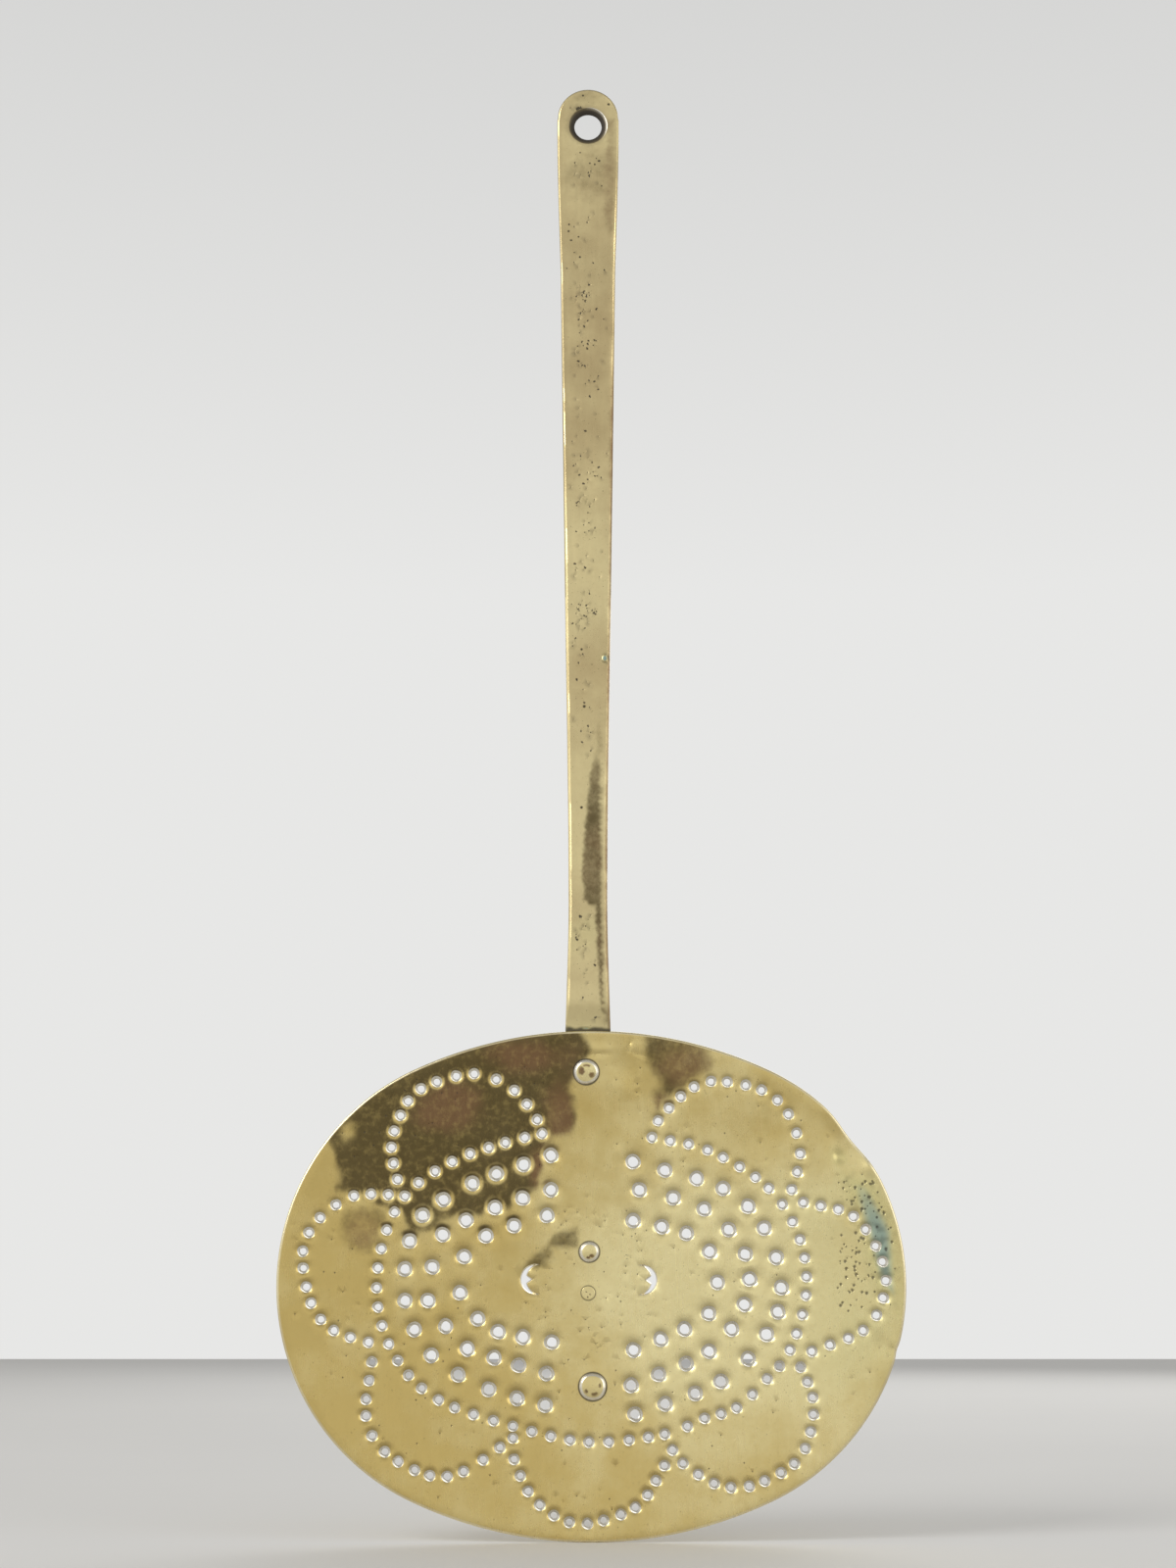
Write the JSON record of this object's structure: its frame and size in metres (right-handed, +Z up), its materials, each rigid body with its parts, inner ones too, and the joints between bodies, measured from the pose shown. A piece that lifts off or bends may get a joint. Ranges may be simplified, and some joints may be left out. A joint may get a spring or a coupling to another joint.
{
  "type": "kitchen skimmer",
  "caption": "Long-handled brass skimmer: a shallow oval blade pierced with a flower of holes, riveted to a tapering flat bar that ends in a hanging eye.",
  "frame": {"origin": "on the axis of the hanging hole, at the back face of the handle's eye", "axes": "+X to the right seen from the front, +Y to the back along the hanging hole's axis, +Z up along the handle, so the skimmer hangs down -Z"},
  "size_m": [0.246, 0.0124, 0.6],
  "materials": {
    "blade_brass": "worn polish",
    "handle_brass": "satin, pitted",
    "rivet_brass": "bright",
    "plug_brass": "worn polish"
  },
  "bodies": {
    "root": {"blade": "blade_brass", "handle": "handle_brass", "top_rivet": "rivet_brass", "middle_rivet": "rivet_brass", "bottom_rivet": "rivet_brass", "flush_rivet": "plug_brass"}
  },
  "joints": []
}
